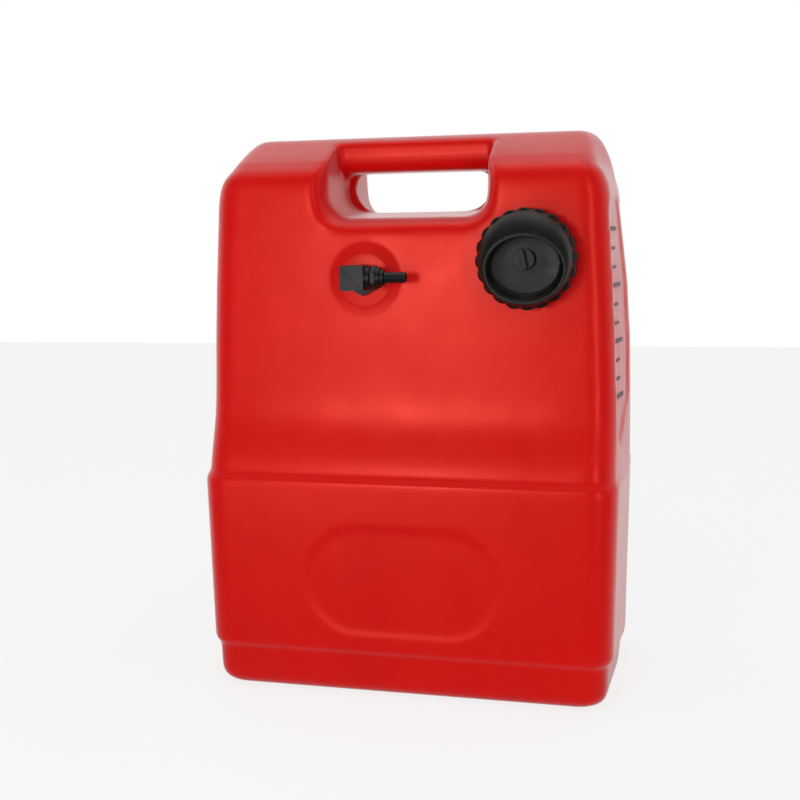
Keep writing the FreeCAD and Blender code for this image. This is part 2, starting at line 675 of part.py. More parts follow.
def tube_clip_bottom():
    band = upright(TUBE_END_Z + 4, TUBE_END_Z + 10, TUBE_RADIUS + 1.1)
    band = band.cut(upright(TUBE_END_Z + 3, TUBE_END_Z + 11, TUBE_RADIUS + 0.02))
    ears = Part.makeBox(3.4, 4, 6, Vector(OUTLET_X - 1.7, TUBE_DROP_Y + TUBE_RADIUS + 0.6, TUBE_END_Z + 4))
    return band.fuse(ears)


PIECES = (tank_shell, level_scale, filler_cap, cap_thread_ring, cap_gasket, vent_bush, vent_seal, vent_knob,
          outlet_insert, outlet_gasket, outlet_base, swivel_seal, swivel_clip, outlet_elbow, barb_seal,
          barb_nut, hose_barb, pickup_tube, strainer_stem, strainer_cage, strainer_screen, tube_clip_top,
          tube_clip_bottom)


def main():
    os.makedirs(PARTS_FOLDER, exist_ok=True)
    for piece in PIECES:
        shape = piece()
        shape.exportStep(os.path.join(PARTS_FOLDER, piece.__name__ + ".step"))
        box = shape.optimalBoundingBox()
        print(piece.__name__, "solids", len(shape.Solids), "valid", shape.isValid(), "cm3",
              round(shape.Volume / 1000, 2), "x", round(box.XMin, 1), round(box.XMax, 1), "y",
              round(box.YMin, 1), round(box.YMax, 1), "z", round(box.ZMin, 1), round(box.ZMax, 1))


main()
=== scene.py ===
# Portable outboard fuel tank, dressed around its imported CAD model. Metres throughout.
import json
import math

import bmesh
import bpy
import numpy as np
from mathutils import Matrix, Vector
from mathutils.bvhtree import BVHTree

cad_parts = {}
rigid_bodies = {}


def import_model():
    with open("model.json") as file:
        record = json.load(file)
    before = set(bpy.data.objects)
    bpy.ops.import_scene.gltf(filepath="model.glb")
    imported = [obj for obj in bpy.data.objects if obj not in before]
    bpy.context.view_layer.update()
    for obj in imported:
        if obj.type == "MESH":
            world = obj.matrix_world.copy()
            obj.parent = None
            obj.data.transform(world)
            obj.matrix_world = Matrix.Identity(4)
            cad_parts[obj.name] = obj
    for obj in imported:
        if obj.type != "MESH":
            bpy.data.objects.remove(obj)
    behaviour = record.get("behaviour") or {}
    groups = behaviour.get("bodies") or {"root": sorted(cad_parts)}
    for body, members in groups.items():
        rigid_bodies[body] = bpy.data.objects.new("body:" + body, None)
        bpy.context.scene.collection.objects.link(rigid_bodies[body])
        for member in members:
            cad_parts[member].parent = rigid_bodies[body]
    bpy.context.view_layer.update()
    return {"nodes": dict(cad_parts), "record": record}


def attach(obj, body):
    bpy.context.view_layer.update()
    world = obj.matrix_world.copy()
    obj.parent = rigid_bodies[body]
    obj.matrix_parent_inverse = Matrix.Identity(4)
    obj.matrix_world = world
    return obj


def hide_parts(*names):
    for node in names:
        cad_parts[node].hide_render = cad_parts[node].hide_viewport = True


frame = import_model()
nodes = frame["nodes"]
mm = 0.001
print("frame loaded:", len(nodes), "nodes")


# Each noise has its detail and roughness, and some a fixed scale. A mask spreads the part of the
# noise between the two values of "from" over the two values of "to".
patterns = {
    "mottle": {"detail": 4.0, "roughness": 0.55, "from": (0.3, 0.7)},
    "grain": {"detail": 2.0, "roughness": 0.6},
    "wave": {"detail": 1.0, "roughness": 0.4},
    "scratch": {"detail": 2.0, "roughness": 0.5, "from": (0.66, 0.72), "to": (0.0, 1.0)},
    "scratchArea": {"scale": 9.0, "detail": 2.0, "roughness": 0.5, "from": (0.45, 0.62), "to": (0.0, 1.0)},
    "brokenEdge": {"scale": 45.0, "detail": 4.0, "roughness": 0.6, "from": (0.35, 0.65), "to": (0.3, 1.0)},
    "specks": {"scale": 70.0, "detail": 5.0, "roughness": 0.65, "from": (0.4, 0.7), "to": (0.2, 1.0)},
    "roughPatch": {"detail": 4.0, "roughness": 0.6, "from": (0.3, 0.7)}}
scratchSets = (((0.3, 0.2, 0.5), (1, 1, 14)), ((0.1, 1.1, 0.2), (9, 1, 1)))   # turn and stretch of each
dustSlope = (0.35, 1.0)           # how far up a face looks where dust starts and where it is full
wholeRange = (0.0, 1.0)


# Helpers for shader nodes: an item is a number, a colour or the output of another node.

def feed(tree, socket, item):
    if isinstance(item, (int, float, tuple)):
        socket.default_value = item
    else:
        tree.links.new(item, socket)


def mathNode(tree, operation, first, second):
    node = tree.nodes.new("ShaderNodeMath")
    node.operation = operation
    feed(tree, node.inputs[0], first)
    feed(tree, node.inputs[1], second)
    return node.outputs[0]


def rangeNode(tree, value, source, target):
    node = tree.nodes.new("ShaderNodeMapRange")
    for label, item in (("Value", value), ("From Min", source[0]), ("From Max", source[1]),
                        ("To Min", target[0]), ("To Max", target[1])):
        feed(tree, node.inputs[label], item)
    return node.outputs["Result"]


def noiseNode(tree, name, vector, scale=None):
    pattern = patterns[name]
    node = tree.nodes.new("ShaderNodeTexNoise")
    node.inputs["Detail"].default_value = pattern["detail"]
    node.inputs["Roughness"].default_value = pattern["roughness"]
    tree.links.new(vector, node.inputs["Vector"])
    feed(tree, node.inputs["Scale"], pattern["scale"] if scale is None else scale)
    return node.outputs["Fac"]


def noiseMask(tree, name, vector, scale=None):
    pattern = patterns[name]
    return rangeNode(tree, noiseNode(tree, name, vector, scale), pattern["from"], pattern["to"])


def mixColour(tree, blend, factor, first, second):
    node = tree.nodes.new("ShaderNodeMix")
    node.data_type = "RGBA"
    node.blend_type = blend
    for index, item in ((0, factor), (6, first), (7, second)):
        feed(tree, node.inputs[index], item)
    return node.outputs[2]


# Shared shader groups: each puts out only a colour, a mask or a height.

def newGroup(name, inputs, outputs):
    group = bpy.data.node_groups.new(name, "ShaderNodeTree")
    for label, kind, value in inputs:
        socket = group.interface.new_socket(name=label, in_out="INPUT", socket_type=kind)
        if value is not None:
            socket.default_value = value
    for label, kind in outputs:
        group.interface.new_socket(name=label, in_out="OUTPUT", socket_type=kind)
    return group, group.nodes.new("NodeGroupInput"), group.nodes.new("NodeGroupOutput")


def mottleGroup():
    # cloudy lighter and darker areas in a moulded colour
    group, start, end = newGroup(
        "mottle",
        [("Color", "NodeSocketColor", (0.5, 0.5, 0.5, 1)), ("Vector", "NodeSocketVector", None),
         ("Scale", "NodeSocketFloat", 12.0), ("Amount", "NodeSocketFloat", 0.1)],
        [("Color", "NodeSocketColor")])
    cloud = noiseNode(group, "mottle", start.outputs["Vector"], start.outputs["Scale"])
    low = mathNode(group, "SUBTRACT", 1.0, start.outputs["Amount"])
    high = mathNode(group, "ADD", 1.0, start.outputs["Amount"])
    gain = rangeNode(group, cloud, patterns["mottle"]["from"], (low, high))
    shade = group.nodes.new("ShaderNodeCombineColor")
    for socket in shade.inputs[:3]:
        group.links.new(gain, socket)
    result = mixColour(group, "MULTIPLY", 1.0, start.outputs["Color"], shade.outputs[0])
    group.links.new(result, end.inputs["Color"])
    return group


def grainGroup():
    # moulded surface height in metres: fine grain on a slow wave
    group, start, end = newGroup(
        "mouldGrain",
        [("Vector", "NodeSocketVector", None), ("Grain Scale", "NodeSocketFloat", 900.0),
         ("Grain Depth", "NodeSocketFloat", 0.00002), ("Wave Scale", "NodeSocketFloat", 30.0),
         ("Wave Depth", "NodeSocketFloat", 0.0002)],
        [("Height", "NodeSocketFloat")])
    grain = noiseNode(group, "grain", start.outputs["Vector"], start.outputs["Grain Scale"])
    wave = noiseNode(group, "wave", start.outputs["Vector"], start.outputs["Wave Scale"])
    grainHeight = mathNode(group, "MULTIPLY", grain, start.outputs["Grain Depth"])
    waveHeight = mathNode(group, "MULTIPLY", wave, start.outputs["Wave Depth"])
    group.links.new(mathNode(group, "ADD", grainHeight, waveHeight), end.inputs["Height"])
    return group


def scuffGroup():
    # short thin scratches, drawn out along the surface, as a mask
    group, start, end = newGroup(
        "scuffs",
        [("Vector", "NodeSocketVector", None), ("Scale", "NodeSocketFloat", 60.0),
         ("Amount", "NodeSocketFloat", 0.5)],
        [("Mask", "NodeSocketFloat")])
    masks = []
    for turn, stretch in scratchSets:
        mapping = group.nodes.new("ShaderNodeMapping")
        mapping.inputs["Rotation"].default_value = turn
        mapping.inputs["Scale"].default_value = stretch
        group.links.new(start.outputs["Vector"], mapping.inputs["Vector"])
        masks.append(noiseMask(group, "scratch", mapping.outputs[0], start.outputs["Scale"]))
    both = mathNode(group, "MAXIMUM", masks[0], masks[1])
    area = noiseMask(group, "scratchArea", start.outputs["Vector"])
    where = mathNode(group, "MULTIPLY", both, area)
    group.links.new(mathNode(group, "MULTIPLY", where, start.outputs["Amount"]), end.inputs["Mask"])
    return group


def edgeGroup():
    # worn outer edges, broken up by noise
    group, start, end = newGroup(
        "edgeWear",
        [("Vector", "NodeSocketVector", None), ("Low", "NodeSocketFloat", 0.51),
         ("High", "NodeSocketFloat", 0.56), ("Amount", "NodeSocketFloat", 0.5)],
        [("Mask", "NodeSocketFloat")])
    geometry = group.nodes.new("ShaderNodeNewGeometry")
    sharpness = (start.outputs["Low"], start.outputs["High"])
    edge = rangeNode(group, geometry.outputs["Pointiness"], sharpness, wholeRange)
    broken = noiseMask(group, "brokenEdge", start.outputs["Vector"])
    mask = mathNode(group, "MULTIPLY", edge, broken)
    group.links.new(mathNode(group, "MULTIPLY", mask, start.outputs["Amount"]), end.inputs["Mask"])
    return group


def dustGroup():
    # light dust that settles on faces looking up
    group, start, end = newGroup(
        "settledDust",
        [("Vector", "NodeSocketVector", None), ("Amount", "NodeSocketFloat", 0.2)],
        [("Mask", "NodeSocketFloat")])
    geometry = group.nodes.new("ShaderNodeNewGeometry")
    split = group.nodes.new("ShaderNodeSeparateXYZ")
    group.links.new(geometry.outputs["Normal"], split.inputs[0])
    upward = rangeNode(group, split.outputs["Z"], dustSlope, wholeRange)
    specks = noiseMask(group, "specks", start.outputs["Vector"])
    mask = mathNode(group, "MULTIPLY", upward, specks)
    group.links.new(mathNode(group, "MULTIPLY", mask, start.outputs["Amount"]), end.inputs["Mask"])
    return group


groups = {"mottle": mottleGroup(), "grain": grainGroup(), "scuffs": scuffGroup(), "edge": edgeGroup(),
          "dust": dustGroup()}
print("shader groups ready")


# Materials: plainLook holds what a look leaves unsaid.

plainLook = {
    "colour": (0.02, 0.02, 0.02), "mottle": 0.12, "mottleScale": 60.0,
    "edge": 0.25, "edgeLow": 0.52, "edgeHigh": 0.62, "edgeColour": (0.07, 0.07, 0.07),
    "scuffs": 0.12, "scuffScale": 160.0, "scuffColour": (0.09, 0.09, 0.09),
    "dust": 0.05, "dustColour": (0.5, 0.45, 0.4),
    "roughness": (0.38, 0.5), "roughScale": 90.0, "markRoughness": 0.25,
    "grainScale": 1800.0, "grainDepth": 0.00003, "waveScale": 120.0, "waveDepth": 0.00004,
    "metallic": 0.0, "clear": 0.0, "ior": 1.5, "specular": 0.25, "tint": (1.0, 1.0, 1.0),
    "sheen": 0.0, "sheenRoughness": 0.3}

looks = {
    "red_polyethylene": {
        "colour": (0.62, 0.003, 0.004), "mottle": 0.05, "mottleScale": 9.0,
        "edge": 0.16, "edgeLow": 0.505, "edgeHigh": 0.56, "edgeColour": (0.75, 0.05, 0.04),
        "scuffs": 0.08, "scuffScale": 42.0, "scuffColour": (0.7, 0.05, 0.04), "dust": 0.03,
        "roughness": (0.29, 0.35), "roughScale": 26.0, "specular": 1.0, "tint": (1.0, 0.17, 0.12),
        "sheen": 0.8,
        "grainScale": 700.0, "grainDepth": 0.000012, "waveScale": 24.0, "waveDepth": 0.0005},
    "grey_marking": {"colour": (0.16, 0.12, 0.12), "mottle": 0.2, "mottleScale": 200.0,
                     "roughness": (0.5, 0.65)},
    "black_plastic": {"colour": (0.006, 0.006, 0.005), "roughness": (0.32, 0.42), "grainDepth": 0.00006,
                      "edge": 0.3, "scuffs": 0.2},
    "vent_plastic": {"colour": (0.016, 0.015, 0.014), "roughness": (0.36, 0.46)},
    "fitting_plastic": {"colour": (0.007, 0.007, 0.007), "roughness": (0.34, 0.46), "edge": 0.3,
                        "scuffs": 0.3},
    "black_rubber": {"colour": (0.012, 0.012, 0.012), "roughness": (0.62, 0.78), "dust": 0.1,
                     "grainDepth": 0.00005},
    "brass": {"colour": (0.72, 0.5, 0.2), "metallic": 1.0, "roughness": (0.24, 0.36),
              "edgeColour": (0.85, 0.7, 0.4), "scuffColour": (0.4, 0.28, 0.12)},
    "spring_steel": {"colour": (0.6, 0.6, 0.58), "metallic": 1.0, "roughness": (0.22, 0.34),
                     "edgeColour": (0.8, 0.8, 0.8), "scuffColour": (0.35, 0.35, 0.36)},
    "steel_mesh": {"colour": (0.5, 0.5, 0.5), "metallic": 1.0, "roughness": (0.3, 0.45),
                   "grainScale": 2600.0, "grainDepth": 0.0002, "edgeColour": (0.7, 0.7, 0.7),
                   "scuffColour": (0.3, 0.3, 0.3)},
    "clear_tube": {"colour": (0.55, 0.56, 0.52), "clear": 0.6, "ior": 1.45, "roughness": (0.2, 0.3),
                   "edgeColour": (0.7, 0.7, 0.66), "scuffColour": (0.7, 0.7, 0.68)},
    "white_plastic": {"colour": (0.7, 0.69, 0.65), "roughness": (0.35, 0.5),
                      "edgeColour": (0.85, 0.84, 0.8), "scuffColour": (0.5, 0.49, 0.46)}}

# the shader's own sockets and the entries of a look that set them
lookSockets = {
    "Metallic": "metallic", "Transmission Weight": "clear", "IOR": "ior",
    "Specular IOR Level": "specular", "Sheen Weight": "sheen", "Sheen Roughness": "sheenRoughness"}


def groupNode(tree, name, vector, values):
    node = tree.nodes.new("ShaderNodeGroup")
    node.node_tree = groups[name]
    tree.links.new(vector, node.inputs["Vector"])
    for label, value in values.items():
        node.inputs[label].default_value = value
    return node.outputs[0]


def mouldedMaterial(name, look):
    material = bpy.data.materials.new(name)
    material.use_nodes = True
    tree = material.node_tree
    shader = tree.nodes["Principled BSDF"]
    place = tree.nodes.new("ShaderNodeTexCoord").outputs["Object"]
    colour = groupNode(tree, "mottle", place, {
        "Color": (*look["colour"], 1), "Scale": look["mottleScale"], "Amount": look["mottle"]})
    edge = groupNode(tree, "edge", place, {
        "Low": look["edgeLow"], "High": look["edgeHigh"], "Amount": look["edge"]})
    scuffs = groupNode(tree, "scuffs", place, {"Scale": look["scuffScale"], "Amount": look["scuffs"]})
    dust = groupNode(tree, "dust", place, {"Amount": look["dust"]})
    for mask, label in ((edge, "edgeColour"), (scuffs, "scuffColour"), (dust, "dustColour")):
        colour = mixColour(tree, "MIX", mask, colour, (*look[label], 1))
    tree.links.new(colour, shader.inputs["Base Color"])
    patch = noiseNode(tree, "roughPatch", place, look["roughScale"])
    rough = rangeNode(tree, patch, patterns["roughPatch"]["from"], look["roughness"])
    marks = mathNode(tree, "MAXIMUM", scuffs, dust)
    rough = mathNode(tree, "ADD", rough, mathNode(tree, "MULTIPLY", marks, look["markRoughness"]))
    tree.links.new(rough, shader.inputs["Roughness"])
    height = groupNode(tree, "grain", place, {
        "Grain Scale": look["grainScale"], "Grain Depth": look["grainDepth"],
        "Wave Scale": look["waveScale"], "Wave Depth": look["waveDepth"]})
    bump = tree.nodes.new("ShaderNodeBump")
    bump.inputs["Strength"].default_value = 1.0
    bump.inputs["Distance"].default_value = 1.0
    tree.links.new(height, bump.inputs["Height"])
    tree.links.new(bump.outputs[0], shader.inputs["Normal"])
    for label, key in lookSockets.items():
        shader.inputs[label].default_value = look[key]
    shader.inputs["Specular Tint"].default_value = (*look["tint"], 1)
    return material


materials = {name: mouldedMaterial(name, {**plainLook, **look}) for name, look in looks.items()}
print("materials ready:", len(materials))


# Helpers for pieces.

def linked(name, mesh, material):
    piece = bpy.data.objects.new(name, mesh)
    bpy.context.scene.collection.objects.link(piece)
    mesh.materials.clear()
    mesh.materials.append(materials[material])
    return piece


def declare(piece, body, slotName, *replaced):
    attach(piece, body)
    if replaced:
        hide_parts(*replaced)


def edited(mesh, change):
    # runs one change on a mesh in its editable form
    work = bmesh.new()
    work.from_mesh(mesh)
    change(work)
    work.to_mesh(mesh)
    work.free()


def madeMesh(name, verts, faces):
    # a mesh whose faces all look outward
    mesh = bpy.data.meshes.new(name)
    mesh.from_pydata(verts, [], faces)
    edited(mesh, lambda work: bmesh.ops.recalc_face_normals(work, faces=work.faces))
    return mesh


def ringFaces(rings, steps, closed):
    # joins each ring of points to the next one, and the last to the first where it is closed
    faces = []
    for j in range(rings if closed else rings - 1):
        low, high = j * steps, (j + 1) % rings * steps
        for i in range(steps):
            after = (i + 1) % steps
            faces.append((low + i, high + i, high + after, low + after))
    return faces


def shadeByAngle(mesh, degrees):
    limit = math.radians(degrees)

    def mark(work):
        for face in work.faces:
            face.smooth = True
        for edge in work.edges:
            edge.smooth = len(edge.link_faces) == 2 and edge.calc_face_angle(0.0) < limit

    edited(mesh, mark)


def applied(piece):
    # puts the result of the piece's modifiers into its mesh
    graph = bpy.context.evaluated_depsgraph_get()
    graph.update()
    mesh = bpy.data.meshes.new_from_object(piece.evaluated_get(graph))
    piece.modifiers.clear()
    old = piece.data
    piece.data = mesh
    bpy.data.meshes.remove(old)


mergeDistance = 0.02 * mm         # points of a CAD mesh nearer than this become one


def copiedMesh(node, name):
    mesh = nodes[node].data.copy()
    mesh.name = name
    edited(mesh, lambda work: bmesh.ops.remove_doubles(work, verts=work.verts, dist=mergeDistance))
    return mesh


# Tank body: a remeshed copy of the shell with softened edges and smoothed broad faces.

tankBody = {
    "voxel": 2.0 * mm,            # size of the remesh
    "share": 0.5, "passes": 9,    # strength and number of the passes that soften the moulded edges
    "broadPasses": 160,           # passes that smooth the broad faces on
    "broadLevels": (0.192, 0.395), "broadHalfWidth": 0.148, "broadDepth": 0.05,
    "broadFade": 24.0 * mm,       # width over which that smoothing fades in
    # near the axis of the neck and of the outlet boss the edges are kept
    "fittings": ({"axis": (103.0 * mm, 366.0 * mm), "keep": 33.0 * mm, "share": 0.12},
                 {"axis": (-31.0 * mm, 350.0 * mm), "keep": 31.0 * mm, "share": 0.1}),
    "keepMargin": 2.0 * mm,
    "slotZone": (95.0 * mm, 385.0 * mm),   # half width and lowest level of the carrying slot
    "insideShare": 0.12,          # how much of the hidden inner skin's mesh is kept
    "rayOffset": 0.5 * mm, "rayReach": 1.0, "insideWeight": 1000.0}


def meshArrays(mesh):
    points = np.empty(len(mesh.vertices) * 3)
    mesh.vertices.foreach_get("co", points)
    edges = np.empty(len(mesh.edges) * 2, dtype=np.int64)
    mesh.edges.foreach_get("vertices", edges)
    return points.reshape(-1, 3), edges.reshape(-1, 2)


def smoothPoints(points, edges, weights, passes):
    first, second = edges[:, 0], edges[:, 1]
    size = len(points)
    count = np.bincount(edges.ravel(), minlength=size).clip(1)
    for _ in range(passes):
        for axis in range(3):
            column = points[:, axis]
            total = np.bincount(first, column[second], size) + np.bincount(second, column[first], size)
            points[:, axis] = column + weights * (total / count - column)


def ramp(distance, width):
    return np.clip(distance / width, 0, 1)


def softenShell(points, edges, values):
    fittings = []
    for spot in values["fittings"]:
        away = np.hypot(points[:, 0] - spot["axis"][0], points[:, 2] - spot["axis"][1])
        fittings.append((away, spot["keep"], spot["share"]))
    weights = np.full(len(points), values["share"])
    front = points[:, 1] < -values["broadDepth"]
    for away, keep, share in fittings:
        weights[front & (away < keep)] = share
    smoothPoints(points, edges, weights, values["passes"])
    low, high = values["broadLevels"]
    fade = values["broadFade"]
    broad = ramp(points[:, 2] - low, fade) * ramp(high - points[:, 2], fade)
    broad *= ramp(values["broadHalfWidth"] - np.abs(points[:, 0]), fade)
    broad *= np.abs(points[:, 1]) > values["broadDepth"]
    for away, keep, _ in fittings:
        broad *= np.where(points[:, 1] < 0, ramp(away - keep - values["keepMargin"], fade), 1.0)
    smoothPoints(points, edges, values["share"] * broad, values["broadPasses"])


def thinInside(piece, values):
    # the inner skin is out of sight, so it keeps only a share of its mesh
    mesh = piece.data
    tree = BVHTree.FromPolygons([v.co for v in mesh.vertices], [p.vertices[:] for p in mesh.polygons])
    group = piece.vertex_groups.new(name="inside")
    halfWide, lowest = values["slotZone"]
    hidden = []
    for vertex in mesh.vertices:
        co, normal = vertex.co, vertex.normal
        if abs(co.x) < halfWide and co.z > lowest:
            continue
        if tree.ray_cast(co + normal * values["rayOffset"], normal, values["rayReach"])[0] is not None:
            hidden.append(vertex.index)
    group.add(hidden, 1.0, "REPLACE")
    thin = piece.modifiers.new("thin", "DECIMATE")
    share = len(hidden) / len(mesh.vertices)
    thin.ratio = 1.0 - share * (1.0 - values["insideShare"])
    thin.vertex_group = "inside"
    thin.vertex_group_factor = values["insideWeight"]
    applied(piece)
    piece.vertex_groups.clear()


def makeTankBody(values):
    piece = linked("tankBody", copiedMesh("tank_shell", "tankBody"), "red_polyethylene")
    remesh = piece.modifiers.new("skin", "REMESH")
    remesh.mode = "VOXEL"
    remesh.voxel_size = values["voxel"]
    remesh.adaptivity = 0.0
    applied(piece)
    mesh = piece.data
    points, edges = meshArrays(mesh)
    softenShell(points, edges, values)
    mesh.vertices.foreach_set("co", points.ravel())
    mesh.update()
    thinInside(piece, values)
    piece.data.shade_smooth()
    piece.data.materials.clear()
    piece.data.materials.append(materials["red_polyethylene"])
    return piece


body = makeTankBody(tankBody)
declare(body, "tank", "red_polyethylene", "tank_shell")
print("tank body:", len(body.data.polygons), "faces")


# Raised face of the outlet boss with its crisp rim: radius and distance in front of the middle
# plane of each ring of points, in millimetres.

bossFace = {
    "axis": (-31.0 * mm, 350.0 * mm), "steps": 96, "smoothBelow": 60.0,
    "profile": ((9.0, 77.83), (20.9, 77.83), (21.2, 77.77), (21.42, 77.62), (21.55, 77.35),
                (21.6, 75.0))}


def makeBossFace(values):
    axisX, axisZ = values["axis"]
    steps, rings = values["steps"], len(values["profile"])
    verts, faces = [], []
    for radius, depth in values["profile"]:
        for i in range(steps):
            angle = 2 * math.pi * i / steps
            verts.append((axisX + radius * mm * math.cos(angle), -depth * mm,
                          axisZ + radius * mm * math.sin(angle)))
    for a, b, c, d in ringFaces(rings, steps, False):
        faces.append((a, d, c, b))
    mesh = bpy.data.meshes.new("bossFace")
    mesh.from_pydata(verts, [], faces)
    shadeByAngle(mesh, values["smoothBelow"])
    return linked("bossFace", mesh, "red_polyethylene")


declare(makeBossFace(bossFace), "tank", "red_polyethylene")
print("boss face done")


# Screw ridge on the neck.

neckThread = {
    "axis": (103.0 * mm, 366.0 * mm), "start": -80.0 * mm, "pitch": 6.0 * mm, "turns": 1.5,
    "root": 28.4 * mm, "crest": 30.6 * mm, "halfRoot": 1.25 * mm, "halfCrest": 0.75 * mm,
    "stepsPerTurn": 72, "fadeShare": 1 / 6, "smoothBelow": 40.0}


def makeThread(values):
    axisX, axisZ = values["axis"]
    profile = ((values["root"], values["halfRoot"]), (values["crest"], values["halfCrest"]),
               (values["crest"], -values["halfCrest"]), (values["root"], -values["halfRoot"]))
    corners = len(profile)
    steps = int(values["stepsPerTurn"] * values["turns"])
    verts, faces = [], []
    for i in range(steps + 1):
        turn = values["turns"] * i / steps
        angle = 2 * math.pi * turn
        fade = min(1.0, min(i, steps - i) / steps / values["fadeShare"])
        for radius, offset in profile:
            reach = values["root"] + (radius - values["root"]) * fade
            verts.append((axisX + reach * math.cos(angle),
                          values["start"] - values["pitch"] * turn + offset,
                          axisZ - reach * math.sin(angle)))
    for i in range(steps):
        for j in range(corners):
            a, b = corners * i + j, corners * i + (j + 1) % corners
            faces.append((a, b, b + corners, a + corners))
    faces.append(tuple(reversed(range(corners))))
    faces.append(tuple(corners * steps + j for j in range(corners)))
    mesh = madeMesh("neckThread", verts, faces)
    shadeByAngle(mesh, values["smoothBelow"])
    return linked("neckThread", mesh, "red_polyethylene")


declare(makeThread(neckThread), "tank", "red_polyethylene")
print("neck thread done")


# Filler cap, spun from rings with lobes round the side and an oval dish that sits off the middle.
# Widths and levels are in millimetres; the levels run along the cap's axis.

fillerCap = {
    "axis": (103.0 * mm, 366.0 * mm), "lobes": 20, "stepsPerLobe": 12, "lobeTurn": 2.0,
    "lobeDepth": 1.8 * mm, "dishShift": 1.2 * mm, "dishDrop": 7.6 * mm, "smoothBelow": 38.0,
    "widths": {"middle": (0.0, 0.0), "hole": (5.0, 5.0), "bore": (35.2, 35.2), "side": (40.0, 40.0),
               "crown": (38.0, 38.0), "dish": (31.7, 26.6), "wall": (29.5, 24.4)},
    "levels": {"inside": -95.5, "skirt": -77.5, "knurl": -93.5, "rim": -108.5, "floor": -98.5},
    # each ring: a width, what is added to it across and up, the share of the dish's offset,
    # a level, what is added to it, and the share of the lobes' depth
    "rings": (
        ("hole", 0, 0, 0, "inside", 0, 0), ("bore", -17.6, -17.6, 0, "inside", 0, 0),
        ("bore", -0.6, -0.6, 0, "inside", 0, 0), ("bore", 0, 0, 0, "inside", 0.6, 0),
        ("bore", 0, 0, 0, "skirt", -0.5, 0), ("bore", 0.5, 0.5, 0, "skirt", 0, 0),
        ("side", -0.7, -0.7, 0, "skirt", 0, 0.9), ("side", -0.2, -0.2, 0, "skirt", -0.25, 1),
        ("side", 0, 0, 0, "skirt", -0.8, 1), ("side", 0, 0, 0, "skirt", -6.0, 1),
        ("side", 0, 0, 0, "knurl", 1.4, 1), ("side", -0.25, -0.25, 0, "knurl", 0.5, 0.95),
        ("side", -0.8, -0.8, 0, "knurl", 0.1, 0.75), ("crown", 0.3, 0.3, 0, "knurl", 0, 0.25),
        ("crown", -0.3, -0.3, 0, "knurl", -0.25, 0), ("crown", -0.6, -0.65, 0.02, "knurl", -1.5, 0),
        ("crown", -1.0, -1.6, 0.08, "knurl", -5.0, 0), ("crown", -1.8, -3.3, 0.22, "knurl", -8.5, 0),
        ("crown", -2.8, -5.4, 0.44, "knurl", -11.4, 0), ("crown", -3.9, -7.7, 0.68, "knurl", -13.4, 0),
        ("dish", 1.1, 1.5, 0.87, "rim", 0.45, 0), ("dish", 0.5, 0.6, 0.95, "rim", 0.08, 0),
        ("dish", -0.4, -0.4, 0.97, "rim", 0, 0), ("wall", 0.9, 0.9, 0.97, "rim", 0, 0),
        ("wall", 0.35, 0.35, 0.96, "rim", 0.25, 0), ("wall", 0, 0, 0.94, "rim", 0.9, 0),
        ("wall", -1.0, -0.6, 0.82, "rim", 5.0, 0), ("wall", -1.9, -1.2, 0.68, "floor", -1.2, 0),
        ("wall", -2.6, -1.9, 0.62, "floor", -0.3, 0), ("wall", -4.0, -3.2, 0.56, "floor", 0, 0),
        ("middle", 14.0, 13.0, 0.2, "floor", 0, 0), ("middle", 8.5, 8.5, 0, "floor", 0, 0),
        ("hole", 0, 0, 0, "floor", 0, 0))}


def makeCap(values):
    steps = values["lobes"] * values["stepsPerLobe"]
    axisX, axisZ = values["axis"]
    verts = []
    for width, across, up, share, level, along, lobe in values["rings"]:
        halfX = (values["widths"][width][0] + across) * mm
        halfZ = (values["widths"][width][1] + up) * mm
        y = (values["levels"][level] + along) * mm
        for i in range(steps):
            angle = 2 * math.pi * i / steps + math.radians(values["lobeTurn"])
            within = (i / values["stepsPerLobe"] + 0.5) % 1.0 - 0.5
            cut = values["lobeDepth"] * lobe * (2 * within) ** 2
            verts.append((axisX + values["dishShift"] * share + (halfX - cut) * math.cos(angle), y,
                          axisZ - values["dishDrop"] * share + (halfZ - cut) * math.sin(angle)))
    mesh = madeMesh("fillerCap", verts, ringFaces(len(values["rings"]), steps, True))
    shadeByAngle(mesh, values["smoothBelow"])
    return linked("fillerCap", mesh, "black_plastic")


declare(makeCap(fillerCap), "cap", "black_plastic", "filler_cap")
print("filler cap done")


# Small moulded pieces: copies of CAD nodes with their edges rounded off, each by its own width.

smallPieces = {
    "ventKnob": ("vent_knob", "vent_screw", "vent_plastic", 0.45 * mm),
    "swivelHead": ("outlet_elbow", "elbow", "fitting_plastic", 0.8 * mm),
    "collarNut": ("barb_nut", "elbow", "fitting_plastic", 0.35 * mm),
    "hoseTail": ("hose_barb", "elbow", "fitting_plastic", 0.2 * mm),
    "hexagonBase": ("outlet_base", "tank", "fitting_plastic", 0.4 * mm)}
# angles in degrees: edges flatter than the first go, edges sharper than the last are rounded
rounding = {"flatBelow": 1.0, "smoothBelow": 60.0, "roundAbove": 28.0, "segments": 3}


def softened(node, name, slotName, width, values):
    mesh = copiedMesh(node, name)
    flat = math.radians(values["flatBelow"])
    edited(mesh, lambda work: bmesh.ops.dissolve_limit(
        work, angle_limit=flat, verts=work.verts, edges=work.edges))
    shadeByAngle(mesh, values["smoothBelow"])
    piece = linked(name, mesh, slotName)
    bevel = piece.modifiers.new("edges", "BEVEL")
    bevel.width = width
    bevel.segments = values["segments"]
    bevel.limit_method = "ANGLE"
    bevel.angle_limit = math.radians(values["roundAbove"])
    bevel.use_clamp_overlap = True
    bevel.harden_normals = True
    level = piece.modifiers.new("level", "WEIGHTED_NORMAL")
    level.keep_sharp = True
    applied(piece)
    return piece


